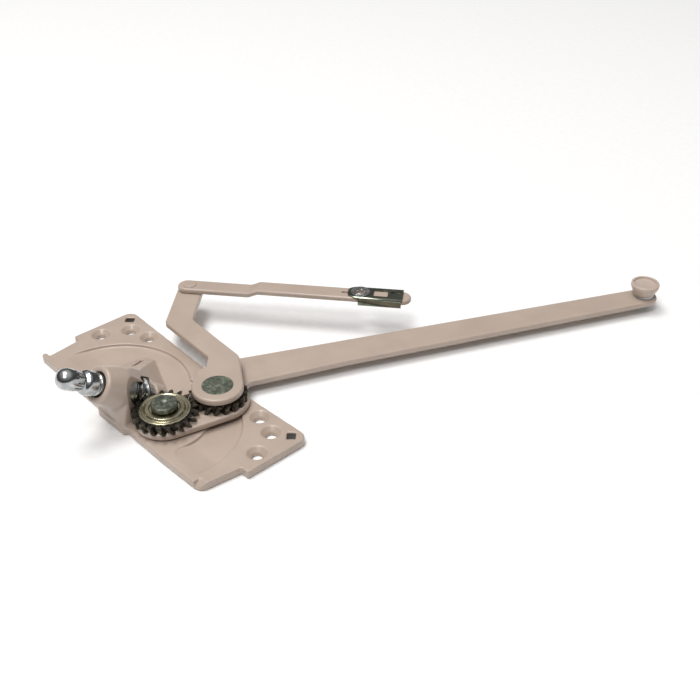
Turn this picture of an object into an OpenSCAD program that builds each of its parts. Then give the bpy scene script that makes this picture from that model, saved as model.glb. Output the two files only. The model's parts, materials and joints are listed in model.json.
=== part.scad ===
// Dual-arm casement window operator: a die-cast base with an inclined worm spindle, a main gear on a
// post, a long arm that turns about the same post and carries a second geared arm, and a sash link.
// +Z is up off the mounting face, +X runs along the base, +Y points out of the window.

/* [Base casting] */
// Overall length of the base
base_len = 149.2; // [140:0.2:160]
// Distance from the centre line to the back edge at the ends
back_y = 33; // [31:0.5:36]
// Distance from the centre line to the front edge
front_y = 25.2; // [24:0.2:27]
// Thickness of the base at its pads
base_t = 4.2; // [4:0.1:5]
// Depth of the two swept recesses below the pads
recess_d = 1.6; // [1:0.1:2]
// Radius of the swept recesses
recess_r = 39.3; // [39:0.1:40]
// Clear diameter of the mounting screw holes
screw_d = 5; // [4.2:0.1:5.4]
// Diameter of the countersinks
countersink_d = 10; // [9:0.2:11]

/* [Spindle] */
// Rise of the spindle above the base plane, in degrees
spindle_rise = 35.6; // [34:0.1:37]
// Height of the worm axis where it passes the gear
worm_z = 11.4; // [11:0.1:12]
// Outer radius of the spindle housing
housing_r = 10.6; // [10:0.1:11]
// Distance from the gear mesh to the housing mouth, along the spindle
mouth_s = 27.3; // [26:0.1:28.5]
// Radius of the spindle journal
journal_r = 5; // [4.6:0.1:5.2]

/* [Gear pair] */
// Place of the main post along the base
post_x = 20.4; // [20:0.1:21]
// Place of the main post across the base
post_y = -10; // [-11:0.1:-9.5]
// Centre distance between the main post and the elbow pivot
gear_c = 27.5; // [27:0.1:28]
// Direction of the elbow pivot as seen from the main post, in degrees
carrier_deg = 77.5; // [76:0.5:79]
// Teeth on the main gear
main_teeth = 20; // [20:1:20]
// Teeth on the elbow gear
elbow_teeth = 18; // [18:1:18]
// Radius of the main post and of the elbow rivet
post_r = 5; // [4.5:0.1:5.5]
// Radial running clearance of every turning joint
run_fit = 0.05; // [0.03:0.01:0.08]

/* [Arms] */
// Thickness of the long arm and of the elbow arm
arm_t = 3.1; // [2.9:0.1:3.3]
// Distance from the elbow pivot to the roller
arm_reach = 247.65; // [230:1:260]
// Direction of the long arm in the resting pose, in degrees
arm_deg = 64.1; // [63:0.1:66]
// Width of the long arm at its root
arm_root_w = 19.5; // [19:0.1:20]
// Width of the long arm at its tip
arm_tip_w = 14.8; // [14:0.1:15.5]

/* [Sash link] */
// Distance from the link rivet to the centre of the link's round end
link_len = 117; // [110:0.5:125]
// Width of the link
link_w = 10.4; // [10:0.1:11]
// Thickness of the link
link_t = 2.6; // [2.4:0.1:2.8]
// Direction of the link in the resting pose, in degrees
link_deg = 39.1; // [38:0.1:41]
// Radius of the stud hole in the sash clip
stud_r = 3.2; // [3:0.1:3.5]

/* [Roller] */
// Radius of the roller at its flange
roller_r = 7.75; // [7:0.05:8]
// Height of the roller
roller_h = 6.5; // [6:0.1:7]
// Height of the spacing washer under the roller
roller_gap = 1.6; // [1:0.1:2]

/* [Hidden] */

// Colours
paint = "#bba998";
zinc = "#b9b692";
bright = "#b8bfc4";
greased = "#4a4130";
nylon = "#d8cfc2";

// Heights, from the mounting face up
pad_z = base_t;
floor_z = base_t - recess_d;
washer_t = 0.9;
gap = 0.05;
arm_z = pad_z + washer_t + gap;
gear_z = arm_z + arm_t + 0.25;
gear_t = 3.7;
gear_top = gear_z + gear_t;
flange_t = 0.7;
elbow_z = gear_top + flange_t + 0.25;
elbow_top = elbow_z + arm_t;
link_z = elbow_top + 0.35;

// Main places in the resting pose
post = [post_x, post_y];
pivot = post + gear_c * dir(carrier_deg);
recess_c = [21, -14.5];

// Gears: module and pitch radii from the centre distance
module_t = 2 * gear_c / (main_teeth + elbow_teeth);
main_r = module_t * main_teeth / 2;
elbow_r = module_t * elbow_teeth / 2;
tooth_angle = 22.5;
tooth_play = 0.24;
main_tip = main_r + 1.30;
main_root = main_r - 1.60;
elbow_tip = elbow_r + 1.24;
elbow_root = elbow_r - 1.60;

// Worm: the lead angle that meshes with the slanted gear teeth
worm_r = post_x - main_r;
worm_lead_deg = lead_angle(7, 5);
tooth_lean = spindle_rise - worm_lead_deg;
worm_pitch = PI * module_t * cos(tooth_lean) / cos(worm_lead_deg);
worm_tip = worm_r + 1.15;
worm_core = worm_r - 1.60;
worm_lo = -5;
worm_hi = 7;

// Spindle stations along its axis, from the gear mesh outwards
tail_lo = -10.4;
tail_r = 2.6;
tail_bush_r = 3.8;
tail_boss_r = 5.6;
bore_r = worm_tip + 0.5;
roof_s = 0;
bushing_lo = worm_hi + 1.6;
bushing_hi = mouth_s - 8;
mouth_ring_r = 9;
lip_r = 6.1;
groove_s = mouth_s + 1.6;
neck_s = mouth_s + 8.7;
ball_s = mouth_s + 16.7;

// ---------- plane geometry ----------
function dir(a) = [cos(a), sin(a)];
function unit(v) = v / norm(v);
function lead_angle(guess, n) =
    n == 0 ? guess : lead_angle(atan(main_tooth_axial(guess) / (2 * PI * worm_r)), n - 1);
function main_tooth_axial(lead) = PI * module_t * cos(spindle_rise - lead) / cos(lead);

// One rounded corner of an outline: the arc that touches both of its edges
function corner(before, at, after, r, steps) =
    let (
        u = unit(before - at),
        v = unit(after - at),
        half = acos(u * v) / 2,
        c = at + unit(u + v) * r / sin(half),
        a0 = at + u * r / tan(half) - c,
        a1 = at + v * r / tan(half) - c,
        start = atan2(a0[1], a0[0]),
        turn = atan2(a0[0] * a1[1] - a0[1] * a1[0], a0 * a1)
    )
    [for (i = [0:steps]) c + r * dir(start + turn * i / steps)];

// An outline from [x, y, radius] corners
function rounded(pts, steps = 8) =
    let (n = len(pts), xy = [for (p = pts) [p[0], p[1]]])
    [for (i = [0:n - 1])
        each pts[i][2] == 0 ? [xy[i]]
            : corner(xy[(i + n - 1) % n], xy[i], xy[(i + 1) % n], pts[i][2], steps)];

// ---------- placing ----------
module at_post() { translate([post_x, post_y, 0]) children(); }
module at_pivot() { translate([pivot[0], pivot[1], 0]) children(); }
module on_axis(s = 0) {
    translate([0, post_y, worm_z]) rotate([90 - spindle_rise, 0, 0]) translate([0, 0, s]) children();
}
module along_arm() { at_pivot() rotate(arm_deg) children(); }
module disc(r, lo, hi) { translate([0, 0, lo]) cylinder(r = r, h = hi - lo, $fn = 64); }
module ring(r, bore, lo, hi) {
    difference() {
        disc(r, lo, hi);
        disc(bore, lo - 1, hi + 1);
    }
}

// ---------- gears ----------
function involute(a) = tan(a) - a * PI / 180;
function tooth_half(z, r, rho) =
    90 / z - tooth_play / 2 / r * 90 / PI
    + (involute(tooth_angle) - involute(acos(min(1, r * cos(tooth_angle) / rho)))) * 180 / PI;
function gear_outline(z, r, root, tip) =
    let (
        n = 4,
        base = max(root, r * cos(tooth_angle)),
        radii = [root, for (i = [0:n]) base + 0.05 + (tip - base - 0.05) * i / n]
    )
    [for (k = [0:z - 1])
        each concat(
            [for (i = [0:n + 1]) radii[i] * dir(k * 360 / z - tooth_half(z, r, max(radii[i], base)))],
            [for (i = [n + 1:-1:0]) radii[i] * dir(k * 360 / z + tooth_half(z, r, max(radii[i], base)))]
        )];

// A gear blank with slanted teeth; lean is positive when the teeth fall back going up
module slanted_gear(z, r, root, tip, lean, first_tooth, lo, hi) {
    rate = tan(lean) / r * 180 / PI;
    translate([0, 0, lo])
        rotate(first_tooth - rate * (lo - worm_z))
            linear_extrude(height = hi - lo, twist = rate * (hi - lo), slices = 3)
                polygon(gear_outline(z, r, root, tip));
}

// Elbow gear tooth that meets a gap of the main gear on the line of centres
main_gap = 180 - round((180 - carrier_deg) * main_teeth / 360) * 360 / main_teeth;
elbow_tooth = carrier_deg + 180 - (main_gap - carrier_deg) * main_teeth / elbow_teeth;

// ---------- base casting ----------
right_side = [
    [base_len / 2, back_y, 5], [base_len / 2, -3.8, 0.8], [70, -3.8, 0.8], [67.2, -front_y, 5],
    [40, -front_y - 0.8, 60], [18, -front_y - 0.7, 20]
];
bulge = [
    [11.5, -front_y - 0.4, 1], [9.5, -front_y - 2.6, 1],
    [-12, -front_y - 2.6, 1], [-14, -front_y - 0.4, 1]
];
left_side = [
    [-71.3, -front_y, 1.2], [-71.3, -front_y + 2.8, 0.8], [-67.6, -front_y + 2.8, 0.6],
    [-70, -3.8, 0.8], [-base_len / 2, -3.8, 0.8], [-base_len / 2, back_y, 5]
];
base_outline = concat(right_side, bulge, left_side, [[0, back_y - 3.2, 40]]);

// Mounting holes: three mirrored pairs
screw_places = [[47, 25.4], [59.7, 22], [66.8, 7.8]];

module base_blank() {
    linear_extrude(height = pad_z) polygon(rounded(base_outline));
}

// One side of the recess: its floor runs up to the pads' height at the front edge
ramp_run = 12;
module recess_side(x, w, front) {
    translate([x, 0, 0]) rotate([90, 0, 90]) linear_extrude(height = w)
        polygon([
            [front, pad_z], [front + ramp_run * pad_z / recess_d, 0], [60, 0], [60, 30], [front, 30]
        ]);
}

module swept_recess() {
    intersection() {
        union() {
            for (side = [-1, 1])
                translate([side * recess_c[0], recess_c[1], 0]) disc(recess_r, floor_z, pad_z + 1);
        }
        union() {
            recess_side(-70, 80, -17.5);
            recess_side(0, 70, -front_y + 3.4);
        }
    }
}

// Raised pad about the main post, joined to the front rim by a flowing edge
module post_pad() {
    at_post() disc(19.7, floor_z - 1, pad_z);
    translate([0, 0, floor_z - 1])
        linear_extrude(height = recess_d + 1)
            polygon(rounded([
                [-2, -front_y + 3, 0], [46, -front_y + 3, 0], [39.6, -19, 5],
                [38, -6, 0], [4, -6, 0]
            ]));
}

// Spindle housing: a barrel on the spindle axis that narrows to a rounded mouth ring
housing_profile = rounded([
    [0, -2, 0], [housing_r, -2, 0], [housing_r, 16.6, 8], [mouth_ring_r + 0.3, mouth_s - 2.4, 4],
    [mouth_ring_r, mouth_s, 1.5], [lip_r, mouth_s, 0.8], [lip_r, mouth_s - 1.5, 0],
    [0, mouth_s - 1.5, 0]
]);

// The barrel, its front fairing, and the apron that runs back to the flank beside the worm
module housing_mass() {
    apron_h = floor_z - 0.95;
    on_axis() rotate_extrude($fn = 72) polygon(housing_profile);
    hull() {
        on_axis() disc(housing_r - 0.1, roof_s, 14.6);
        translate([0, 0, 1]) linear_extrude(height = apron_h)
            polygon([[-19, 2], [-25, -8], [-24, -18], [-15, -26.5], [9, -26.8], [10, -12]]);
    }
    hull() {
        on_axis() disc(housing_r - 0.1, roof_s, roof_s + 2);
        translate([0, 0, 1]) linear_extrude(height = apron_h)
            polygon(rounded([
                [-28.6, 16.4, 0], [-34, 13.5, 3], [-36.5, 2, 10], [-31, -14, 8], [-15, -26, 0],
                [10, -12, 0], [4, 2, 0], [-3, 6.1, 0], [-14.8, 12.7, 0]
            ], 5));
    }
    on_axis() disc(tail_boss_r, tail_lo - 1.4, 0);
}

// The flank beside the worm is one sloping plane; the gear and the flange have their own round clearance
module housing_cuts() {
    difference() {
        translate([-29, 16.5, floor_z]) rotate([0, 54.1, 68.2]) translate([-80, -80, 0]) cube([160, 160, 80]);
        on_axis() disc(tail_boss_r, tail_lo - 1.4, worm_lo - 0.6);
    }
    at_post() disc(main_tip + 0.4, pad_z, 60);
}

module screw_hole(place) {
    translate([place[0], place[1], 0]) {
        disc(screw_d / 2, -1, pad_z + 1);
        translate([0, 0, pad_z - (countersink_d - screw_d) / 2])
            cylinder(r1 = screw_d / 2, r2 = countersink_d / 2, h = (countersink_d - screw_d) / 2, $fn = 64);
        disc(countersink_d / 2, pad_z, pad_z + 2);
    }
}

module corner_slot(side) {
    translate([side * 68.3, 27.2, -1]) rotate(side * -45) translate([-2.45, -2.15, 0]) cube([4.9, 4.3, 10]);
}

module fairing_slot() {
    // A narrow slot in the apron, parallel to the crest of the flank
    crest = unit([-27.4, 15.3] - [-9.6, -7.8]);
    translate([-26.5, 5.5, 1.2]) rotate(atan2(crest[1], crest[0])) translate([-6.8, -1.1, 0])
        cube([13.6, 2.2, 20]);
}

module base_casting() {
    color(paint) difference() {
        union() {
            difference() {
                base_blank();
                difference() {
                    swept_recess();
                    post_pad();
                }
                translate([63, -front_y + 4, pad_z]) rotate([38, 0, 0])
                    translate([0, -20, 0]) cube([10, 20, 20]);
            }
            difference() {
                intersection() {
                    housing_mass();
                    translate([-40, -60, 0]) cube([80, 100, 60]);
                }
                housing_cuts();
            }
        }
        on_axis() disc(bore_r, worm_lo - 0.5, bushing_hi + 0.2);
        on_axis() disc(bore_r + 0.5, bushing_hi + 0.2, bushing_hi + 1.3);
        on_axis() disc(bore_r, bushing_hi + 1.3, bushing_hi + 3);
        on_axis() disc(lip_r, bushing_hi + 2.9, mouth_s + 1);
        on_axis() disc(tail_bush_r, tail_lo, worm_lo);
        for (place = screw_places, side = [-1, 1]) screw_hole([side * place[0], place[1]]);
        for (side = [-1, 1]) corner_slot(side);
        fairing_slot();
        at_post() disc(post_r, -1, pad_z + 1);
        at_post() disc(post_r + 2, -1, 1.5);
    }
}

// ---------- main post and gear ----------
head_r = 6.4;
ring_r = 9.35;
flange_r = 12.35;
head_z = gear_top + flange_t + 1.35;

module main_post() {
    color(bright) difference() {
        at_post() union() {
            disc(post_r + 2, 0.1, 1.5);
            disc(post_r, 1.4, head_z + 0.1);
            disc(head_r, head_z, head_z + 2.0);
            translate([0, 0, head_z + 2.0]) cylinder(r1 = head_r, r2 = head_r - 0.5, h = 0.4, $fn = 64);
        }
        at_post() translate([0, 0, head_z + 2.4 + 3.2]) sphere(r = 3.8, $fn = 48);
    }
}

module post_washer() {
    color(zinc) at_post() ring(9, post_r + 0.02, pad_z, pad_z + washer_t);
}

module main_gear() {
    color(greased) at_post() difference() {
        slanted_gear(main_teeth, main_r, main_root, main_tip, tooth_lean,
            180 / main_teeth, gear_z, gear_top);
        disc(post_r + run_fit, gear_z - 1, gear_top + 1);
    }
}

// Stepped cover that is pressed onto the main gear and turns with it
module gear_flange() {
    z1 = gear_top + flange_t;
    color(zinc) at_post() rotate_extrude($fn = 96)
        polygon(rounded([
            [post_r + run_fit, gear_top, 0], [flange_r, gear_top, 0], [flange_r, z1 + 0.2, 0.4],
            [flange_r - 1.1, z1 + 0.2, 0.3], [flange_r - 1.5, z1 - 0.15, 0.2], [ring_r + 0.8, z1 - 0.15, 0.2], [ring_r, z1 + 0.9, 0.35], [head_r + 1.2, z1 + 0.9, 0.3],
            [head_r + 0.7, z1 + 0.4, 0.2], [post_r + run_fit, z1 + 0.4, 0]
        ], 4));
}

// ---------- spindle ----------
module worm_thread() {
    steps = 28;
    half_root = worm_pitch / 4 - tooth_play / 2 + tan(20) * (worm_r - worm_core + 0.2);
    half_tip = worm_pitch / 4 - tooth_play / 2 - tan(20) * (worm_tip - worm_r);
    first = ceil(worm_lo / worm_pitch * steps + 0.55 * steps);
    last = floor(worm_hi / worm_pitch * steps - 0.55 * steps);
    ring_pts = [[worm_core - 0.2, -half_root], [worm_tip, -half_tip], [worm_tip, half_tip],
        [worm_core - 0.2, half_root]];
    pts = [for (i = [first:last], p = ring_pts)
        let (a = 360 * i / steps)
        [p[0] * cos(a), p[0] * sin(a), p[1] + worm_pitch * i / steps]];
    n = last - first;
    sides = [for (i = [0:n - 1], k = [0:3])
        let (q = 4 * i + k, w = 4 * i + (k + 1) % 4)
        each [[q, w, q + 4], [w, w + 4, q + 4]]];
    ends = [[0, 3, 2], [0, 2, 1], [4 * n, 4 * n + 1, 4 * n + 2], [4 * n, 4 * n + 2, 4 * n + 3]];
    polyhedron(points = pts, faces = concat(sides, ends));
}

// Turned body of the spindle: tail, worm core, journal, grooved barrel, neck and rounded tip
spindle_profile = rounded([
    [0, tail_lo + 0.3, 0], [tail_r, tail_lo + 0.3, 0.5], [tail_r, worm_lo - 0.4, 0],
    [worm_core, worm_lo - 0.4, 0.4], [worm_core, worm_hi, 0.4], [6.9, worm_hi + 0.5, 0.3],
    [6.9, bushing_lo - 0.2, 0.3], [journal_r, bushing_lo - 0.2, 0], [journal_r, mouth_s - 4.4, 0.4],
    [5.5, mouth_s - 3.6, 0.8], [5.5, groove_s - 0.7, 0.5], [4.7, groove_s - 0.2, 0.3],
    [4.7, groove_s + 0.3, 0.3], [5.9, groove_s + 0.9, 0.9], [5.9, neck_s - 1.2, 1.8],
    [3.9, neck_s + 0.4, 0.8], [4.6, neck_s + 1.8, 0.8], [5.2, ball_s - 2.6, 3],
    [5.2, ball_s + 5.3, 4.8], [0, ball_s + 5.3, 0]
], 6);

// The crank's seat: a ring of fine grooves along the taper between neck and tip
module crank_splines() {
    for (i = [0:15])
        rotate(i * 22.5) translate([4.15, -0.35, neck_s + 1.2]) cube([2, 0.7, 4.6]);
}

module worm_spindle() {
    color(bright) on_axis() {
        difference() {
            rotate_extrude($fn = 64) polygon(spindle_profile);
            crank_splines();
        }
        worm_thread();
    }
}

module worm_thrust_ring() {
    color(greased) on_axis() ring(7.2, journal_r, bushing_lo - 0.2 + 0.001, bushing_lo + 0.5);
}

module spindle_bushing() {
    color(zinc) on_axis() ring(bore_r, journal_r + run_fit, bushing_lo + 0.6, bushing_hi);
}

module bushing_circlip() {
    color(bright) on_axis() difference() {
        ring(bore_r + 0.45, bore_r - 1.4, bushing_hi + 0.25, bushing_hi + 1.25);
        translate([-1.5, 0, bushing_hi]) cube([3, 12, 3]);
    }
}

module spindle_seal() {
    color("#2b2a28") on_axis() ring(bore_r - 0.02, journal_r + 0.06, bushing_hi + 1.35, bushing_hi + 2.9);
}

module worm_tail_bush() {
    color(zinc) on_axis() ring(tail_bush_r, tail_r + run_fit, tail_lo + 0.2, worm_lo - 0.6);
}

// ---------- long arm ----------
far_v = 30.6;
near_root_v = far_v - arm_root_w;
tip_v = far_v - arm_tip_w / 2;
tip_u = sqrt(arm_reach * arm_reach - tip_v * tip_v);
post_uv = -gear_c * dir(carrier_deg - arm_deg);
hub_r = 14.5;
elbow_end_r = 15;

// Strip and the shoulder that joins it to the root, seen along the arm
arm_outline = [
    [tip_u + arm_tip_w / 2, far_v - arm_tip_w, arm_tip_w / 2 - 0.01],
    [tip_u + arm_tip_w / 2, far_v, arm_tip_w / 2 - 0.01], [5.9, far_v, 12], [-11.3, 15.7, 2.5], [-15.2, 14.6, 3.2],
    [-18.4, 7.6, 2], [-24, 6, 0], [post_uv[0], post_uv[1], 0], [0, 0, 0],
    [14.1, 5, 0], [17.6, 8.6, 4.6], [26, near_root_v - 2.1, 14], [70, near_root_v + 0.35, 0]
];

// The two round ends of the root and the straight web between them
module arm_root() {
    hull() {
        circle(r = elbow_end_r, $fn = 120);
        translate(post_uv) circle(r = hub_r, $fn = 120);
    }
}

module long_arm() {
    color(paint) difference() {
        translate([0, 0, arm_z]) along_arm() linear_extrude(height = arm_t) union() {
            polygon(rounded(arm_outline));
            arm_root();
        }
        // the hub is narrower on the side that passes the worm
        at_post() difference() {
            linear_extrude(height = 20)
                polygon([[0, 0], 18 * dir(250), 22 * dir(215), 22 * dir(170), 18 * dir(136)]);
            disc(13.3, -1, 21);
        }
        at_post() disc(post_r + run_fit, arm_z - 1, arm_z + arm_t + 1);
        at_pivot() disc(post_r, arm_z - 1, arm_z + arm_t + 1);
        along_arm() translate([tip_u, tip_v, 0]) disc(2.5, arm_z - 1, arm_z + arm_t + 1);
    }
}

// Elbow rivet: wide foot in the recess, shank through arm and gear, flush head in the elbow arm
foot_r = 7;
flush_r = 7.6;
module elbow_rivet() {
    color(bright) at_pivot() difference() {
        union() {
            disc(foot_r, floor_z + 0.7, arm_z);
            disc(post_r, arm_z - 0.01, elbow_top - 1.7);
            disc(flush_r, elbow_top - 1.8, elbow_top + 0.1);
        }
        translate([-3.2, -4.6, elbow_top - 0.4]) disc(0.7, 0, 2);
    }
}

module carrier_washer() {
    color(zinc) at_pivot() ring(9.6, post_r, arm_z + arm_t, arm_z + arm_t + 0.2);
}

// The roller is closed on top and snaps over the head of its stud
roller_z = arm_z + arm_t + roller_gap + 0.1;
module roller_stud() {
    color(bright) along_arm() translate([tip_u, tip_v, 0]) {
        disc(4, arm_z - 0.8, arm_z);
        disc(2.5, arm_z - 0.1, roller_z + roller_h - 3);
        disc(3.4, roller_z + roller_h - 3.15, roller_z + roller_h - 2.15);
    }
}

module roller_washer() {
    z0 = arm_z + arm_t;
    color(zinc) along_arm() translate([tip_u, tip_v, 0]) ring(5.6, 2.5, z0, z0 + roller_gap);
}

module track_roller() {
    h = roller_h;
    color(nylon) along_arm() translate([tip_u, tip_v, roller_z]) rotate_extrude($fn = 96)
        polygon(rounded([
            [2.5 + run_fit, 0, 0], [roller_r - 2, 0, 0.5], [roller_r, h - 1.9, 0.9],
            [roller_r, h, 0.7], [roller_r - 1.3, h, 0.5], [roller_r - 1.6, h - 1.1, 0.4],
            [0, h - 1.1, 0], [0, h - 2, 0], [3.6, h - 2, 0], [3.6, h - 3.2, 0],
            [2.5 + run_fit, h - 3.2, 0]
        ], 5));
}

// ---------- elbow arm ----------
elbow_hub_r = 12.6;
link_pin = [-55, 59.5];
link_eye_r = 7.05;
reach_dir = 133;

elbow_outline = [
    [33.2, 27.4, 0], [13.6, 40.15, 9], [-29.5, 42.75, 3],
    [link_pin[0] + link_eye_r * cos(reach_dir - 90), link_pin[1] + link_eye_r * sin(reach_dir - 90), 0],
    [link_pin[0], link_pin[1], 0],
    [link_pin[0] + link_eye_r * cos(reach_dir + 90), link_pin[1] + link_eye_r * sin(reach_dir + 90), 0],
    [-37.3, 30.4, 5], [3.5, 28.1, 2], [9.8, 22.2, 2.5], [9.9, 16.4, 3], [16.8, 8.2, 0],
    [pivot[0], pivot[1], 0]
];

module elbow_arm() {
    color(paint) difference() {
        translate([0, 0, elbow_z]) linear_extrude(height = arm_t) union() {
            polygon(rounded(elbow_outline));
            translate(pivot) circle(r = elbow_hub_r, $fn = 96);
            translate(link_pin) circle(r = link_eye_r, $fn = 64);
        }
        at_pivot() disc(post_r + run_fit, elbow_z - 1, elbow_top + 1);
        at_pivot() disc(flush_r + run_fit, elbow_top - 1.9, elbow_top + 1);
        translate([link_pin[0], link_pin[1], 0]) disc(2.6, elbow_z - 1, elbow_top + 1);
    }
}

module elbow_gear() {
    color(greased) at_pivot() difference() {
        union() {
            slanted_gear(elbow_teeth, elbow_r, elbow_root, elbow_tip, -tooth_lean,
                elbow_tooth, gear_z, gear_top);
            disc(9, gear_top - 0.1, elbow_z);
        }
        disc(post_r + run_fit, gear_z - 1, elbow_z + 1);
    }
}

// ---------- sash link and clip ----------
joggle_u = 33.7;
joggle_run = 5.2;
joggle_up = 2.2;
link_end_u = link_len;
module along_link() { translate([link_pin[0], link_pin[1], link_z]) rotate(link_deg) children(); }

module link_plan() {
    polygon([
        [-1.4, -link_w / 2], [link_end_u, -link_w / 2], [link_end_u, link_w / 2], [-1.4, link_w / 2]
    ]);
    translate([-1.4, 0]) circle(r = link_w / 2, $fn = 64);
    translate([link_end_u, 0]) circle(r = link_w / 2, $fn = 64);
}

module sash_link() {
    j0 = joggle_u;
    j1 = joggle_u + joggle_run;
    end = link_end_u + link_w;
    color(paint) along_link() difference() {
        intersection() {
            linear_extrude(height = link_t + joggle_up) link_plan();
            translate([0, link_w, 0]) rotate([90, 0, 0]) linear_extrude(height = 2 * link_w)
                polygon([
                    [-2 * link_w, 0], [j0, 0], [j1, joggle_up], [end, joggle_up],
                    [end, joggle_up + link_t], [j1, joggle_up + link_t], [j0, link_t],
                    [-2 * link_w, link_t]
                ]);
        }
        disc(2.6 + run_fit, -1, link_t + 1);
        translate([stud_u, 0, 0]) disc(stud_r + 0.9, -1, joggle_up + link_t + 1);
        translate([stud_u - 10.3, -1, joggle_up + link_t - 1.2]) cube([3.3, 2, 3]);
    }
}

stud_u = 94.8;
clip_top = joggle_up + link_t;
module link_rivet() {
    color(paint) translate([link_pin[0], link_pin[1], 0]) {
        disc(3.7, elbow_z - 0.9, elbow_z);
        disc(2.6, elbow_z - 0.1, link_z + link_t);
        translate([0, 0, link_z + link_t])
            rotate_extrude($fn = 48) polygon(rounded([[0, 0, 0], [3.7, 0, 0], [3.7, 0.45, 0.35], [0, 0.5, 0]]));
    }
}

module link_washer() {
    color(zinc) translate([link_pin[0], link_pin[1], 0]) ring(4.8, 2.6, elbow_top, link_z - 0.05);
}

// Sheet-metal clip that wraps the link's end and snaps over a stud on the sash bracket
clip_t = 0.8;
clip_lo = stud_u - 6.8;
clip_hi = stud_u + 23;
module sash_clip() {
    w = link_w / 2 + 0.08;
    z0 = clip_top + 0.08;
    z1 = z0 + clip_t;
    skirt = clip_top - 3.9;
    color(zinc) along_link() difference() {
        intersection() {
            // The folded section: a plate with a skirt down each side of the link
            translate([clip_lo - 1, 0, 0]) rotate([90, 0, 90]) linear_extrude(height = clip_hi - clip_lo + 1)
                polygon(rounded([
                    [-w - clip_t, skirt, 0], [-w - clip_t, z1, 1.2], [w + clip_t, z1, 1.2],
                    [w + clip_t, skirt, 0], [w, skirt, 0], [w, z0, 0], [-w, z0, 0], [-w, skirt, 0]
                ], 6));
            union() {
                translate([0, 0, z0]) linear_extrude(height = 3)
                    polygon(rounded([
                        [clip_lo, -3.2, 2.8], [clip_lo + 5, -w - clip_t, 1.6], [clip_hi, -w - clip_t, 0],
                        [clip_hi, w + clip_t, 0], [clip_lo + 5, w + clip_t, 1.6], [clip_lo, 3.2, 2.8]
                    ]));
                translate([stud_u - 0.8, -10, skirt - 1]) cube([23.2, 20, 10]);
            }
        }
        translate([stud_u, 0, 0]) disc(stud_r + 1.1, clip_top - 1, clip_top + 3);
        translate([stud_u + 7.1, -3, clip_top - 1]) cube([7.7, 6, 4]);
        translate([stud_u + 16.4, -2.3, z1 - 0.45]) cube([6, 4.6, 4]);
    }
}

// Star spring inside the clip's hole: its fingers grip the stud
module clip_spring() {
    fingers = 6;
    z0 = clip_top + 0.08 + clip_t;
    color(bright) along_link() translate([stud_u, 0, z0]) difference() {
        ring(stud_r + 2.0, stud_r, 0, 0.35);
        for (i = [0:fingers - 1])
            rotate(i * 360 / fingers) translate([stud_r - 0.5, -0.35, -1]) cube([1.5, 0.7, 3]);
    }
}

base_casting();
main_post();
post_washer();
spindle_bushing();
spindle_seal();
bushing_circlip();
worm_tail_bush();
worm_spindle();
worm_thrust_ring();
main_gear();
gear_flange();
long_arm();
elbow_rivet();
carrier_washer();
roller_stud();
roller_washer();
elbow_arm();
elbow_gear();
sash_link();
link_rivet();
link_washer();
sash_clip();
clip_spring();
track_roller();
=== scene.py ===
"""Looks for a dual-arm casement window operator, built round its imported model."""

import json
from math import cos, radians, sin

import bmesh
import bpy
from mathutils import Matrix, Vector


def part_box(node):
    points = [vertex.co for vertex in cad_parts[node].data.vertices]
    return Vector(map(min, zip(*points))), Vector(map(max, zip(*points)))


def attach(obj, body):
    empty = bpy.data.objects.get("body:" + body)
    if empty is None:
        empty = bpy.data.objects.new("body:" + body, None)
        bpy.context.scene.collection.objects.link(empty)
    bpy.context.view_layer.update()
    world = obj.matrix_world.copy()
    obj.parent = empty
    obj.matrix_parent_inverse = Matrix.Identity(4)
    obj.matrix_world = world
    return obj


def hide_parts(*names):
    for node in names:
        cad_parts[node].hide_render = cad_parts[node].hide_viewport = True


bl_info = {
    "name": "Casement Window Operator",
    "version": (1, 0, 0),
    "blender": (4, 5, 0),
    "location": "3D View > Sidebar > Window Operator",
    "description": "Builds the casting, arms, gears, spindle, clip and roller of a window operator",
    "category": "Add Mesh",
}

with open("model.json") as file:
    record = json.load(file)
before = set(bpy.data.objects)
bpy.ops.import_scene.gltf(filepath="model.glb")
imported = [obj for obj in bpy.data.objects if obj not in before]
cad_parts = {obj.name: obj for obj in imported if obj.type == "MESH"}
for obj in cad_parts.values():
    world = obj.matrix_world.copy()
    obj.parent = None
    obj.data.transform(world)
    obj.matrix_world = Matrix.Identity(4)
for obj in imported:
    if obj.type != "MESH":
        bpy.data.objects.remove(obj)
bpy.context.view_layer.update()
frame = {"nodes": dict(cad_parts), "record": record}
BODY_OF = {n: b for b, ns in frame["record"]["behaviour"]["bodies"].items() for n in ns}
SLOT_OF = {p["node"]: p["material_slot"] for p in frame["record"]["subparts"]}

# Lengths are in metres, and angles in degrees unless it says radians.
WELD = 2e-6  # corners nearer than this are one corner
ARM_WELD = 3e-4  # the same for the elbow arm, whose short edges would crease its rounding
FLAT = 0.6  # degrees between triangles that merge into one face
LEVEL = 0.99995  # a face whose normal is nearer to vertical than this is shaded flat
FACE_UP = 0.7  # an edge with a face that looks up more than this is a top edge

TOP_EDGE, LOW_EDGE, HOLE_EDGE = 1.0, 0.35, 0.10  # shares of a stamped plate's rounding

# Radius round each pin or stud inside which a stamped edge belongs to its hole
POST_HOLE, PIVOT_HOLE, PIVOT_BOSS = 0.0115, 0.0085, 0.009
PIN_HOLE, ROLLER_HOLE, STUD_HOLE, DIMPLE_HOLE = 0.004, 0.0045, 0.0047, 0.0025
DIMPLE_BACK = 0.00865  # how far the link's dimple lies behind its stud hole

GEAR_TEETH = {"main_gear": (0.0128, 0.0158), "elbow_gear": (0.0112, 0.0143)}  # root, tip radius, across which the painted shade between the teeth fades
TOOTH_EDGE = 1.6  # rounding of a tooth, as a multiple of the sheet edge

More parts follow.
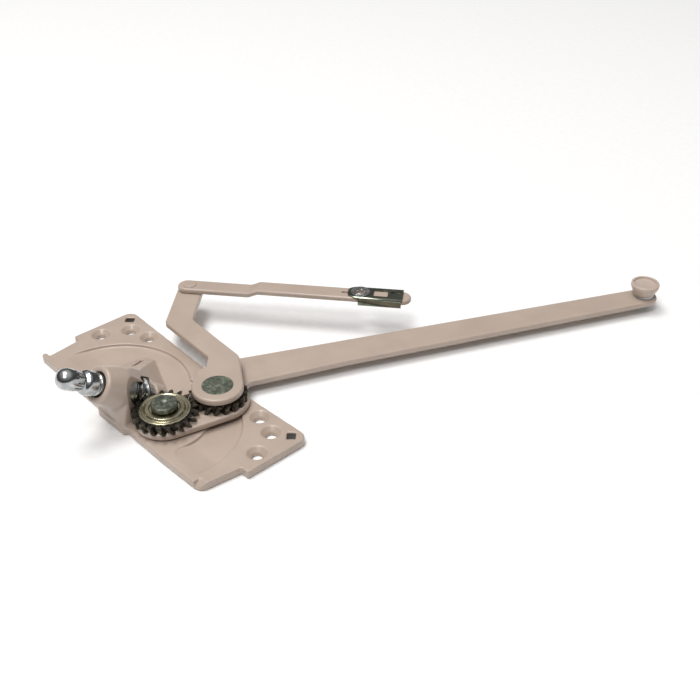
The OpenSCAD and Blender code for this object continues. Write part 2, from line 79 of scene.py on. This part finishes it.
FINGERS = {"count": 6, "radius": 0.0037, "length": 0.0026, "width": 0.0016, "thick": 0.00025,
           "dip": -0.16}  # dip in radians
FINGER_DROP = 0.0002  # the ring of fingers' depth under the spring's middle

CORNER_SLOTS = [(-0.0683, 0.0272), (0.0683, 0.0272)]  # middles of the base's two corner slots
SLOT_REACH, SLOT_FLOOR = 0.0034, 0.0036  # radius of the painted shade on the slot walls, and the height below which it starts

FLOOR_DROP = 2e-4  # the floor's depth under the base
STAGE_MIDDLE = Vector((0.02, 0.08, 0.01))  # the point that the lights look at
OVERHEAD_FROM, OVERHEAD_SIZE = Vector((-0.5, -0.25, 2.15)), 1.0
FRONT_FROM, FRONT_SIZE = Vector((0.44, -0.97, 1.92)), 0.8
CAMERA_PLACE = (0.35825, -0.20628, 0.31108)
CAMERA_YAW, CAMERA_DOWN = 136.906, 34.792


# ---------------------------------------------------------------- settings
class OperatorFinishes(bpy.types.PropertyGroup):
    """Colours of the enamel, plating, grease and nylon"""

    enamel: bpy.props.FloatVectorProperty(
        name="Enamel", description="Colour of the paint on the casting, arms and link",
        subtype="COLOR", size=3, min=0, max=1, default=(0.452, 0.362, 0.300))
    zinc: bpy.props.FloatVectorProperty(
        name="Bright zinc", description="Colour of the bright plating on the spindle and small parts",
        subtype="COLOR", size=3, min=0, max=1, default=(0.46, 0.475, 0.48))
    yellow_zinc: bpy.props.FloatVectorProperty(
        name="Yellow zinc", description="Colour of the passivated plating on the gear cover",
        subtype="COLOR", size=3, min=0, max=1, default=(0.50, 0.46, 0.32))
    dark_zinc: bpy.props.FloatVectorProperty(
        name="Dark zinc", description="Colour of the darker plating on the clip and the main post",
        subtype="COLOR", size=3, min=0, max=1, default=(0.20, 0.215, 0.17))
    dull_zinc: bpy.props.FloatVectorProperty(
        name="Dull zinc", description="Colour of the mottled plating on the elbow rivet",
        subtype="COLOR", size=3, min=0, max=1, default=(0.165, 0.185, 0.145))
    grease: bpy.props.FloatVectorProperty(
        name="Grease", description="Colour of the old grease on the gear teeth",
        subtype="COLOR", size=3, min=0, max=1, default=(0.022, 0.017, 0.010))
    nylon: bpy.props.FloatVectorProperty(
        name="Nylon", description="Colour of the roller",
        subtype="COLOR", size=3, min=0, max=1, default=(0.50, 0.41, 0.35))


class OperatorEdges(bpy.types.PropertyGroup):
    """How far the edges of each kind of part are rounded"""

    cast_cell: bpy.props.FloatProperty(
        name="Casting cell", description="Cell of the casting's skin, which sets its detail",
        subtype="DISTANCE", unit="LENGTH", min=0.0003, max=0.002, default=0.0004)
    cast_keep: bpy.props.FloatProperty(
        name="Casting keep", description="Share of the skin's triangles kept on the casting",
        min=0.1, max=1, default=0.42)
    cast_rounding: bpy.props.IntProperty(
        name="Casting rounding", description="How many times the casting's edges are eased",
        min=0, max=20, default=6)
    plate_edge: bpy.props.FloatProperty(
        name="Plate edge", description="Rounding of the stamped arms and the link under their paint",
        subtype="DISTANCE", unit="LENGTH", min=0.0001, max=0.0014, default=0.0011)
    turned_edge: bpy.props.FloatProperty(
        name="Turned edge", description="Rounding of turned parts such as the post and rivets",
        subtype="DISTANCE", unit="LENGTH", min=0.00005, max=0.0006, default=0.00025)
    sheet_edge: bpy.props.FloatProperty(
        name="Sheet edge", description="Rounding of thin sheet parts and of gear teeth",
        subtype="DISTANCE", unit="LENGTH", min=0.00002, max=0.0003, default=0.00012)


class OperatorStage(bpy.types.PropertyGroup):
    """Floor, camera and lights"""

    floor_size: bpy.props.FloatProperty(
        name="Floor size", description="Side of the square floor",
        subtype="DISTANCE", unit="LENGTH", min=1, max=20, default=6)
    lens: bpy.props.FloatProperty(
        name="Lens", description="Focal length of the camera in millimetres",
        min=20, max=200, default=52.604)
    overhead_power: bpy.props.FloatProperty(
        name="Overhead light", description="Power of the large light overhead",
        subtype="POWER", unit="POWER", min=0, max=200, default=25)
    front_power: bpy.props.FloatProperty(
        name="Front light", description="Power of the small light that draws the highlights",
        subtype="POWER", unit="POWER", min=0, max=100, default=17)
    sky: bpy.props.FloatProperty(
        name="Surroundings", description="Brightness of the surroundings straight above",
        min=0, max=3, default=0.75)


# ---------------------------------------------------------------- materials
def new_finish(name):
    """A material with its shader, and object coordinates to lay patterns on."""
    mat = bpy.data.materials.new(name)
    mat.use_nodes = True
    nodes = mat.node_tree.nodes
    shader = nodes["Principled BSDF"]
    where = nodes.new("ShaderNodeTexCoord")
    return mat, nodes, mat.node_tree.links, shader, where.outputs["Object"]


def noise(nodes, links, where, scale, detail=3.0, roughness=0.55):
    """A cloudy pattern, from 0 to 1."""
    cloud = nodes.new("ShaderNodeTexNoise")
    cloud.inputs["Scale"].default_value = scale
    cloud.inputs["Detail"].default_value = detail
    cloud.inputs["Roughness"].default_value = roughness
    links.new(where, cloud.inputs["Vector"])
    return cloud.outputs["Fac"]


def shades(nodes, links, value, stops):
    """A value turned into colours, through stops of (place, colour)."""
    ramp = nodes.new("ShaderNodeValToRGB")
    band = ramp.color_ramp
    while len(band.elements) < len(stops):
        band.elements.new(0.5)
    for element, (place, colour) in zip(band.elements, stops):
        element.position = place
        element.color = (*colour[:3], 1)
    links.new(value, ramp.inputs["Fac"])
    return ramp.outputs["Color"]


def spread(nodes, links, value, low, high, start=0.3, end=0.7):
    """A value stretched, so that start to end becomes low to high."""
    remap = nodes.new("ShaderNodeMapRange")
    remap.inputs["From Min"].default_value = start
    remap.inputs["From Max"].default_value = end
    remap.inputs["To Min"].default_value = low
    remap.inputs["To Max"].default_value = high
    links.new(value, remap.inputs["Value"])
    return remap.outputs["Result"]


def relief(nodes, links, value, shader, depth, strength):
    """Bumps a shader's surface by a value."""
    bump = nodes.new("ShaderNodeBump")
    bump.inputs["Distance"].default_value = depth
    bump.inputs["Strength"].default_value = strength
    links.new(value, bump.inputs["Height"])
    links.new(bump.outputs["Normal"], shader.inputs["Normal"])


def tint(colour, factor):
    """A colour made darker or lighter."""
    return tuple(min(1.0, c * factor) for c in colour[:3])


def distance_from(nodes, links, where, x, y):
    """How far a point lies from an upright line through x, y."""
    flat = nodes.new("ShaderNodeMapping")
    flat.inputs["Location"].default_value = (-x, -y, 0)
    flat.inputs["Scale"].default_value = (1, 1, 0)
    links.new(where, flat.inputs["Vector"])
    away = nodes.new("ShaderNodeVectorMath")
    away.operation = "LENGTH"
    links.new(flat.outputs["Vector"], away.inputs[0])
    return away.outputs["Value"]


def enamel_finish(name, colour, grain):
    """Baked enamel: faint cloudiness, orange peel and a thin gloss."""
    mat, nodes, links, shader, where = new_finish(name)
    cloud = noise(nodes, links, where, scale=55, detail=4)
    tones = [(0.30, tint(colour, 0.93)), (0.52, colour), (0.75, tint(colour, 1.06))]
    links.new(shades(nodes, links, cloud, tones), shader.inputs["Base Color"])
    smear = noise(nodes, links, where, scale=160, detail=5, roughness=0.6)
    links.new(spread(nodes, links, smear, low=0.30, high=0.46), shader.inputs["Roughness"])
    peel = noise(nodes, links, where, scale=grain, detail=2)
    relief(nodes, links, peel, shader, depth=0.00006, strength=0.35)
    shader.inputs["Specular IOR Level"].default_value = 0.5
    shader.inputs["Coat Weight"].default_value = 0.3
    shader.inputs["Coat Roughness"].default_value = 0.22
    return mat


def paint_shade_in_slots(mat, places, reach, height):
    """Painted shade on a slot's walls, near black: below height, and within reach of each place."""
    nodes, links = mat.node_tree.nodes, mat.node_tree.links
    shader = nodes["Principled BSDF"]
    where = nodes.new("ShaderNodeTexCoord").outputs["Object"]
    tone = shader.inputs["Base Color"].links[0].from_socket
    axes = nodes.new("ShaderNodeSeparateXYZ")
    links.new(where, axes.inputs[0])
    deep = spread(nodes, links, axes.outputs["Z"], low=1.0, high=0.0,
                  start=height - 0.0005, end=height)
    for place in places:
        away = distance_from(nodes, links, where, *place)
        near = spread(nodes, links, away, low=0.85, high=0.0, start=reach - 0.0002, end=reach)
        both = nodes.new("ShaderNodeMath")
        both.operation = "MULTIPLY"
        links.new(near, both.inputs[0])
        links.new(deep, both.inputs[1])
        mix = nodes.new("ShaderNodeMix")
        mix.data_type = "RGBA"
        # painted shade: a near-black colour stands in for the shade deep inside the slots
        paint, bare_metal_and_shade = (socket for socket in mix.inputs if socket.type == "RGBA")
        bare_metal_and_shade.default_value = (0.03, 0.028, 0.026, 1)
        links.new(both.outputs[0], mix.inputs["Factor"])
        links.new(tone, paint)
        tone = next(socket for socket in mix.outputs if socket.type == "RGBA")
    links.new(tone, shader.inputs["Base Color"])


def plated_finish(name, colour, low, high, scale=420):
    """Plated steel, of roughness low to high: cloudy, finely marked, with a rippled skin."""
    mat, nodes, links, shader, where = new_finish(name)
    cloud = noise(nodes, links, where, scale=scale * 0.45, detail=4)
    tones = [(0.28, tint(colour, 0.62)), (0.5, colour), (0.72, tint(colour, 1.35))]
    links.new(shades(nodes, links, cloud, tones), shader.inputs["Base Color"])
    marks = noise(nodes, links, where, scale=scale * 3.1, detail=5, roughness=0.65)
    links.new(spread(nodes, links, marks, low, high), shader.inputs["Roughness"])
    skin = noise(nodes, links, where, scale=scale, detail=3)
    relief(nodes, links, skin, shader, depth=0.00008, strength=0.30)
    shader.inputs["Metallic"].default_value = 1.0
    return mat


def mottled_finish(name, colour):
    """Dull zinc with the patchy crystals of passivated plating."""
    mat, nodes, links, shader, where = new_finish(name)
    cells = nodes.new("ShaderNodeTexVoronoi")
    cells.inputs["Scale"].default_value = 900
    links.new(where, cells.inputs["Vector"])
    cloud = noise(nodes, links, where, scale=520, detail=5, roughness=0.7)
    tones = [(0.32, tint(colour, 0.5)), (0.5, colour), (0.66, tint(colour, 1.9))]
    links.new(shades(nodes, links, cloud, tones), shader.inputs["Base Color"])
    dull = spread(nodes, links, cells.outputs["Distance"], low=0.34, high=0.55, start=0.0, end=0.8)
    links.new(dull, shader.inputs["Roughness"])
    relief(nodes, links, cells.outputs["Distance"], shader, depth=0.00006, strength=0.5)
    shader.inputs["Metallic"].default_value = 0.85
    return mat


def greased_finish(name, grease, steel, centre=None, root=0.0, tip=0.0):
    """Steel under old grease, with bare glints; given a centre, painted shade makes it blackest down
    between the teeth and lighter at the tips.
    """
    mat, nodes, links, shader, where = new_finish(name)
    film = noise(nodes, links, where, scale=520, detail=5, roughness=0.62)
    tone = shades(nodes, links, film, [
        (0.30, tint(grease, 0.5)), (0.54, grease), (0.64, tint(grease, 4.5)), (0.78, steel)])
    if centre is not None:
        # painted shade: colour scaled from a tenth at the root radius to one and a half times at the
        # tip radius
        radius = distance_from(nodes, links, where, centre.x, centre.y)
        painted_root_shade = spread(nodes, links, radius, low=0.10, high=1.5, start=root, end=tip)
        dim = nodes.new("ShaderNodeVectorMath")
        dim.operation = "SCALE"
        links.new(tone, dim.inputs[0])
        links.new(painted_root_shade, dim.inputs["Scale"])
        tone = dim.outputs["Vector"]
    links.new(tone, shader.inputs["Base Color"])
    links.new(spread(nodes, links, film, low=0.16, high=0.45), shader.inputs["Roughness"])
    bare_metal_and_shade = spread(nodes, links, film, low=0.0, high=0.8, start=0.58, end=0.74)
    links.new(bare_metal_and_shade, shader.inputs["Metallic"])
    lumps = noise(nodes, links, where, scale=900, detail=4)
    relief(nodes, links, lumps, shader, depth=0.00025, strength=0.5)
    return mat


def nylon_finish(name, colour):
    """Natural nylon: milky, a little light goes in, and the rim is slightly scuffed."""
    mat, nodes, links, shader, where = new_finish(name)
    cloud = noise(nodes, links, where, scale=140, detail=3)
    tones = [(0.3, tint(colour, 0.92)), (0.7, tint(colour, 1.08))]
    links.new(shades(nodes, links, cloud, tones), shader.inputs["Base Color"])
    scuff = noise(nodes, links, where, scale=800, detail=4)
    links.new(spread(nodes, links, scuff, low=0.26, high=0.44), shader.inputs["Roughness"])
    relief(nodes, links, scuff, shader, depth=0.00004, strength=0.25)
    shader.inputs["Subsurface Weight"].default_value = 0.35
    shader.inputs["Subsurface Radius"].default_value = (0.004, 0.003, 0.002)
    shader.inputs["Subsurface Scale"].default_value = 0.6
    return mat


def rubber_finish(name):
    """Matt black rubber."""
    mat, nodes, links, shader, where = new_finish(name)
    cloud = noise(nodes, links, where, scale=700, detail=4)
    tones = [(0.3, (0.008, 0.008, 0.008)), (0.7, (0.02, 0.019, 0.018))]
    links.new(shades(nodes, links, cloud, tones), shader.inputs["Base Color"])
    links.new(spread(nodes, links, cloud, low=0.55, high=0.8), shader.inputs["Roughness"])
    relief(nodes, links, cloud, shader, depth=0.00005, strength=0.4)
    return mat


def finish_for(slot):
    """The finish of one material slot, made once."""
    name = "finish_" + slot
    found = bpy.data.materials.get(name)
    if found:
        return found
    tones = bpy.context.scene.winop_finishes
    steel = tint(tones.zinc, 0.75)
    makers = {
        "painted_casting": lambda: enamel_finish(name, tones.enamel, grain=620),
        "painted_steel": lambda: enamel_finish(name, tones.enamel, grain=900),
        "bright_steel": lambda: plated_finish(name, tones.zinc, low=0.12, high=0.26),
        "dull_zinc": lambda: mottled_finish(name, tones.dull_zinc),
        "zinc_plate": lambda: plated_finish(name, tones.zinc, low=0.25, high=0.45),
        "yellow_zinc": lambda: plated_finish(name, tones.yellow_zinc, low=0.14, high=0.30),
        "greased_steel": lambda: greased_finish(name, tones.grease, steel),
        "nylon": lambda: nylon_finish(name, tones.nylon),
        "seal_rubber": lambda: rubber_finish(name),
    }
    return makers[slot]()


# ---------------------------------------------------------------- mesh helpers
def new_piece(name, mesh):
    """A new object in the scene, at the origin."""
    obj = bpy.data.objects.new(name, mesh)
    bpy.context.scene.collection.objects.link(obj)
    return obj


def flatten(shape):
    """Drops faces with no area and merges triangles that lie in one plane."""
    bmesh.ops.dissolve_degenerate(shape, edges=shape.edges, dist=WELD)
    bmesh.ops.dissolve_limit(shape, angle_limit=radians(FLAT), verts=shape.verts, edges=shape.edges)


def merged_copy(node, name, reach=WELD):
    """A closed copy of a node, in flat faces, whose corners within reach are one."""
    source = frame["nodes"][node].data
    mesh = bpy.data.meshes.new(name)
    mesh.from_pydata([v.co[:] for v in source.vertices], [],
                     [p.vertices[:] for p in source.polygons])
    shape = bmesh.new()
    shape.from_mesh(mesh)
    bmesh.ops.remove_doubles(shape, verts=shape.verts, dist=WELD)
    flatten(shape)
    if reach > WELD:
        bmesh.ops.triangulate(shape, faces=shape.faces)
        bmesh.ops.remove_doubles(shape, verts=shape.verts, dist=reach)
        flatten(shape)
    bmesh.ops.recalc_face_normals(shape, faces=shape.faces)
    shape.to_mesh(mesh)
    shape.free()
    return new_piece(name, mesh)


def settle(obj):
    """Turns a piece's modifiers into plain mesh."""
    bpy.context.view_layer.update()
    ready = obj.evaluated_get(bpy.context.evaluated_depsgraph_get())
    mesh = bpy.data.meshes.new_from_object(ready)
    obj.modifiers.clear()
    obj.data = mesh
    return obj


def dress(obj, node, angle=35, finish=None, replaces=True):
    """Gives a piece its finish and shading, and puts it in place of its node."""
    slot = SLOT_OF[node]
    mesh = obj.data
    mesh.materials.clear()
    mesh.materials.append(finish or finish_for(slot))
    mesh.shade_smooth()
    mesh.set_sharp_from_angle(angle=radians(angle))
    for face in mesh.polygons:
        face.use_smooth = abs(face.normal.z) < LEVEL
    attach(obj, BODY_OF[node])
    if replaces:
        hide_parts(node)
    return obj


def rounded_part(node, width, angle=32, segments=3, share=None, finish=None, reach=WELD):
    """A node with its hard edges rounded; share(point) gives each edge its part of the width."""
    obj = merged_copy(node, node + "_finished", reach)
    edge = obj.modifiers.new("Edges", "BEVEL")
    edge.width = width
    edge.segments = segments
    edge.use_clamp_overlap = share is None
    edge.miter_outer = "MITER_ARC" if share is None else "MITER_SHARP"
    if share is None:
        edge.limit_method = "ANGLE"
        edge.angle_limit = radians(angle)
    else:
        edge.limit_method = "WEIGHT"
        weigh_edges(obj.data, angle, share)
    return dress(settle(obj), node, finish=finish)


def weigh_edges(mesh, angle, share):
    """Gives each hard edge its share of the bevel, from its middle and the height its faces look up."""
    shape = bmesh.new()
    shape.from_mesh(mesh)
    shape.normal_update()
    weight = shape.edges.layers.float.new("bevel_weight_edge")
    for edge in shape.edges:
        if len(edge.link_faces) == 2 and edge.calc_face_angle() > radians(angle):
            up = max(face.normal.z for face in edge.link_faces)
            edge[weight] = share((edge.verts[0].co + edge.verts[1].co) / 2, up)
    shape.to_mesh(mesh)
    shape.free()


def centre_of(node):
    """The middle of a node's box."""
    low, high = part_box(node)
    return (Vector(low) + Vector(high)) / 2


def stamped_edges(holes):
    """Edge shares of a stamped plate: wide on top, narrower below and slight round its holes."""

    def share(point, up):
        if any((point.xy - hole.xy).length < reach for hole, reach in holes):
            return HOLE_EDGE
        return TOP_EDGE if up > FACE_UP else LOW_EDGE

    return share


def require(node):
    """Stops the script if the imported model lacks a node."""
    if node not in frame["nodes"]:
        raise RuntimeError(f"the packed model has no {node}")


# ---------------------------------------------------------------- pieces
class WINOP_OT_casting(bpy.types.Operator):
    """The die-cast base, with the eased edges and flowing corners of a casting"""

    bl_idname = "winop.casting"
    bl_label = "Base casting"

    def execute(self, context):
        require("base_casting")
        edges = context.scene.winop_edges
        obj = merged_copy("base_casting", "base_casting_finished")
        skin = obj.modifiers.new("Skin", "REMESH")
        skin.mode = "VOXEL"
        skin.voxel_size = edges.cast_cell
        skin.use_smooth_shade = True
        ease = obj.modifiers.new("Ease", "SMOOTH")
        ease.factor = 0.5
        ease.iterations = edges.cast_rounding
        thin = obj.modifiers.new("Thin", "DECIMATE")
        thin.ratio = edges.cast_keep
        settle(obj)
        dress(obj, "base_casting", angle=60)
        # painted shade darkens the walls of the two corner slots
        paint_shade_in_slots(obj.data.materials[0], CORNER_SLOTS, SLOT_REACH, SLOT_FLOOR)
        return {"FINISHED"}


class WINOP_OT_arms(bpy.types.Operator):
    """The long arm, the elbow arm, the sash link and its rivet, under the same enamel"""

    bl_idname = "winop.arms"
    bl_label = "Arms and link"

    def execute(self, context):
        edges = context.scene.winop_edges
        post, pivot, pin = (centre_of(n) for n in ("main_post", "elbow_rivet", "link_rivet"))
        roller, stud = centre_of("roller_stud"), centre_of("clip_spring")
        along = (stud - pin).xy.normalized()
        dimple = Vector((*(stud.xy - along * DIMPLE_BACK), 0))
        plates = (
            ("long_arm", WELD, [(post, POST_HOLE), (pivot, PIVOT_HOLE), (roller, ROLLER_HOLE)]),
            ("elbow_arm", ARM_WELD, [(pivot, PIVOT_BOSS), (pin, PIN_HOLE)]),
            ("sash_link", WELD, [(pin, PIN_HOLE), (stud, STUD_HOLE), (dimple, DIMPLE_HOLE)]),
        )
        for node, reach, holes in plates:
            require(node)
            share = stamped_edges(holes)
            rounded_part(node, edges.plate_edge, segments=5, share=share, reach=reach)
        rounded_part("link_rivet", edges.turned_edge)
        return {"FINISHED"}


class WINOP_OT_gears(bpy.types.Operator):
    """The greased gear pair, the plated cover on the main gear and the washers"""

    bl_idname = "winop.gears"
    bl_label = "Gears and washers"

    def execute(self, context):
        edges = context.scene.winop_edges
        tones = context.scene.winop_finishes
        for node, (root, tip) in GEAR_TEETH.items():
            require(node)
            steel = tint(tones.zinc, 0.7)
            # painted shade between the teeth, by distance from the gear's middle
            root_shaded_grease = greased_finish("finish_" + node, tones.grease, steel, centre_of(node), root, tip)
            width = edges.sheet_edge * TOOTH_EDGE
            rounded_part(node, width, angle=40, segments=2, finish=root_shaded_grease)
        for node in ("gear_flange", "post_washer", "carrier_washer", "link_washer", "roller_washer"):
            rounded_part(node, edges.sheet_edge)
        return {"FINISHED"}


class WINOP_OT_posts(bpy.types.Operator):
    """The main post, the elbow rivet and the roller's stud"""

    bl_idname = "winop.posts"
    bl_label = "Post and rivets"

    def execute(self, context):
        edges = context.scene.winop_edges
        for node in ("main_post", "elbow_rivet", "roller_stud"):
            require(node)
        rounded_part("elbow_rivet", edges.turned_edge)
        rounded_part("roller_stud", edges.turned_edge)
        dark = tint(context.scene.winop_finishes.dark_zinc, 0.62)
        tarnished = mottled_finish("finish_main_post", dark)
        rounded_part("main_post", edges.turned_edge, finish=tarnished)
        return {"FINISHED"}


class WINOP_OT_spindle(bpy.types.Operator):
    """The worm spindle with its grooved crank seat, and the bearings that hold it"""

    bl_idname = "winop.spindle"
    bl_label = "Spindle"

    def execute(self, context):
        edges = context.scene.winop_edges
        require("worm_spindle")
        rounded_part("worm_spindle", edges.sheet_edge, angle=38, segments=2)
        for node in ("worm_thrust_ring", "spindle_bushing", "worm_tail_bush", "bushing_circlip",
                     "spindle_seal"):
            rounded_part(node, edges.sheet_edge)
        return {"FINISHED"}


def finger_ring_tree(material):
    """A ring of Count sheet fingers, each Length by Width by Thick, tilted by Dip radians."""
    tree = bpy.data.node_groups.new("Ring of fingers", "GeometryNodeTree")
    face = tree.interface
    face.new_socket(name="Count", in_out="INPUT", socket_type="NodeSocketInt").default_value = 6
    for name, default in (("Radius", 0.004), ("Length", 0.002), ("Width", 0.002),
                          ("Thick", 0.0003), ("Dip", 0.3)):
        socket = face.new_socket(name=name, in_out="INPUT", socket_type="NodeSocketFloat")
        socket.default_value = default
    face.new_socket(name="Geometry", in_out="OUTPUT", socket_type="NodeSocketGeometry")
    nodes, links = tree.nodes, tree.links
    given = nodes.new("NodeGroupInput").outputs
    circle = nodes.new("GeometryNodeMeshCircle")
    links.new(given["Count"], circle.inputs["Vertices"])
    links.new(given["Radius"], circle.inputs["Radius"])
    size = nodes.new("ShaderNodeCombineXYZ")
    for axis, name in (("X", "Length"), ("Y", "Width"), ("Z", "Thick")):
        links.new(given[name], size.inputs[axis])
    finger = nodes.new("GeometryNodeMeshCube")
    links.new(size.outputs[0], finger.inputs["Size"])
    tilt = nodes.new("GeometryNodeTransform")
    lean = nodes.new("ShaderNodeCombineXYZ")
    links.new(given["Dip"], lean.inputs["Y"])
    links.new(finger.outputs["Mesh"], tilt.inputs["Geometry"])
    links.new(lean.outputs[0], tilt.inputs["Rotation"])
    place = nodes.new("GeometryNodeInputPosition")
    turn = nodes.new("FunctionNodeAlignRotationToVector")
    turn.axis = "X"
    links.new(place.outputs[0], turn.inputs["Vector"])
    spots = nodes.new("GeometryNodeInstanceOnPoints")
    links.new(circle.outputs["Mesh"], spots.inputs["Points"])
    links.new(tilt.outputs["Geometry"], spots.inputs["Instance"])
    links.new(turn.outputs["Rotation"], spots.inputs["Rotation"])
    real = nodes.new("GeometryNodeRealizeInstances")
    links.new(spots.outputs["Instances"], real.inputs["Geometry"])
    paint = nodes.new("GeometryNodeSetMaterial")
    paint.inputs["Material"].default_value = material
    links.new(real.outputs["Geometry"], paint.inputs["Geometry"])
    links.new(paint.outputs["Geometry"], nodes.new("NodeGroupOutput").inputs["Geometry"])
    return tree


def ring_of_fingers(name, material, **sizes):
    """The ring of fingers as a plain mesh; sizes are the tree's inputs, in small letters."""
    obj = new_piece(name, bpy.data.meshes.new(name))
    tree = finger_ring_tree(material)
    made = obj.modifiers.new("Fingers", "NODES")
    made.node_group = tree
    for socket in tree.interface.items_tree:
        if socket.in_out == "INPUT":
            made[socket.identifier] = sizes[socket.name.lower()]
    return settle(obj)


class WINOP_OT_clip(bpy.types.Operator):
    """The sheet clip on the link's end and the sprung fingers that grip the sash stud"""

    bl_idname = "winop.clip"
    bl_label = "Sash clip"

    def execute(self, context):
        edges = context.scene.winop_edges
        require("sash_clip")
        tone = context.scene.winop_finishes.dark_zinc
        dark = plated_finish("finish_sash_clip", tone, low=0.08, high=0.2, scale=260)
        rounded_part("sash_clip", edges.sheet_edge, segments=2, finish=dark)
        rounded_part("clip_spring", edges.sheet_edge * 0.5, segments=2)
        fingers = ring_of_fingers("clip_fingers", finish_for("bright_steel"), **FINGERS)
        seat = centre_of("clip_spring") - Vector((0, 0, FINGER_DROP))
        fingers.data.transform(Matrix.Translation(seat))
        dress(fingers, "clip_spring", replaces=False)
        return {"FINISHED"}


class WINOP_OT_roller(bpy.types.Operator):
    """The flanged nylon roller at the end of the long arm"""

    bl_idname = "winop.roller"
    bl_label = "Track roller"

    def execute(self, context):
        require("track_roller")
        rounded_part("track_roller", context.scene.winop_edges.turned_edge)
        return {"FINISHED"}


# ---------------------------------------------------------------- stage
def area_light(name, place, aim, size, power, colour=(1, 1, 1)):
    """A round soft light at a place, looking at aim."""
    lamp = bpy.data.lights.new(name, "AREA")
    lamp.shape = "DISK"
    lamp.size = size
    lamp.energy = power
    lamp.color = colour
    obj = new_piece(name, lamp)
    obj.location = place
    obj.rotation_euler = (Vector(aim) - Vector(place)).to_track_quat("-Z", "Y").to_euler()
    return obj


class WINOP_OT_stage(bpy.types.Operator):
    """A plain pale floor, soft studio light and the camera"""

    bl_idname = "winop.stage"
    bl_label = "Stage"

    def execute(self, context):
        stage = context.scene.winop_stage
        half = stage.floor_size / 2
        corners = [(x * half, y * half, -FLOOR_DROP) for x, y in ((-1, -1), (1, -1), (1, 1), (-1, 1))]
        mesh = bpy.data.meshes.new("floor")
        mesh.from_pydata(corners, [], [(0, 1, 2, 3)])
        floor = new_piece("floor", mesh)
        mat, nodes, links, shader, where = new_finish("floor_paper")
        grain = noise(nodes, links, where, scale=240, detail=3)
        tones = [(0.3, (0.90, 0.90, 0.90)), (0.7, (0.93, 0.93, 0.93))]
        links.new(shades(nodes, links, grain, tones), shader.inputs["Base Color"])
        shader.inputs["Roughness"].default_value = 0.9
        mesh.materials.append(mat)

        world = bpy.data.worlds.new("surroundings")
        world.use_nodes = True
        nodes, links = world.node_tree.nodes, world.node_tree.links
        height = nodes.new("ShaderNodeSeparateXYZ")
        links.new(nodes.new("ShaderNodeTexCoord").outputs["Generated"], height.inputs[0])
        glow = spread(nodes, links, height.outputs["Z"], low=0.09, high=stage.sky,
                      start=0.35, end=1.0)
        nodes["Background"].inputs["Color"].default_value = (1.0, 0.99, 0.98, 1)
        links.new(glow, nodes["Background"].inputs["Strength"])
        context.scene.world = world
        area_light("overhead", STAGE_MIDDLE + OVERHEAD_FROM, STAGE_MIDDLE, OVERHEAD_SIZE,
                   stage.overhead_power, (1.0, 0.99, 0.975))
        area_light("front", STAGE_MIDDLE + FRONT_FROM, STAGE_MIDDLE, FRONT_SIZE, stage.front_power)

        lens = bpy.data.cameras.new("camera")
        lens.lens = stage.lens
        lens.sensor_width = 36
        lens.clip_start = 0.01
        camera = new_piece("camera", lens)
        yaw, down = radians(CAMERA_YAW), radians(CAMERA_DOWN)
        camera.location = CAMERA_PLACE
        way = Vector((cos(yaw) * cos(down), sin(yaw) * cos(down), -sin(down)))
        camera.rotation_euler = way.to_track_quat("-Z", "Y").to_euler()
        context.scene.camera = camera
        context.scene.view_settings.view_transform = "Standard"
        return {"FINISHED"}


class WINOP_PT_panel(bpy.types.Panel):
    """Lists the pieces and their settings"""

    bl_idname = "WINOP_PT_panel"
    bl_label = "Window Operator"
    bl_space_type = "VIEW_3D"
    bl_region_type = "UI"
    bl_category = "Window Operator"

    def draw(self, context):
        layout = self.layout
        scene = context.scene
        for settings in (scene.winop_finishes, scene.winop_edges, scene.winop_stage):
            box = layout.box()
            for name in settings.bl_rna.properties.keys():
                if name not in ("rna_type", "name"):
                    box.prop(settings, name)
        for piece in PIECES:
            layout.operator(piece.bl_idname)


SETTINGS = (OperatorFinishes, OperatorEdges, OperatorStage)
PIECES = (WINOP_OT_casting, WINOP_OT_arms, WINOP_OT_gears, WINOP_OT_posts,
          WINOP_OT_spindle, WINOP_OT_clip, WINOP_OT_roller, WINOP_OT_stage)


def register():
    for cls in (*SETTINGS, *PIECES, WINOP_PT_panel):
        bpy.utils.register_class(cls)
    bpy.types.Scene.winop_finishes = bpy.props.PointerProperty(type=OperatorFinishes)
    bpy.types.Scene.winop_edges = bpy.props.PointerProperty(type=OperatorEdges)
    bpy.types.Scene.winop_stage = bpy.props.PointerProperty(type=OperatorStage)


def unregister():
    del bpy.types.Scene.winop_stage
    del bpy.types.Scene.winop_edges
    del bpy.types.Scene.winop_finishes
    for cls in reversed((*SETTINGS, *PIECES, WINOP_PT_panel)):
        bpy.utils.unregister_class(cls)


def main():
    """Builds every piece and the stage."""
    register()
    bpy.ops.winop.casting()
    bpy.ops.winop.arms()
    bpy.ops.winop.gears()
    bpy.ops.winop.posts()
    bpy.ops.winop.spindle()
    bpy.ops.winop.clip()
    bpy.ops.winop.roller()
    bpy.ops.winop.stage()


if __name__ == "__main__":
    main()
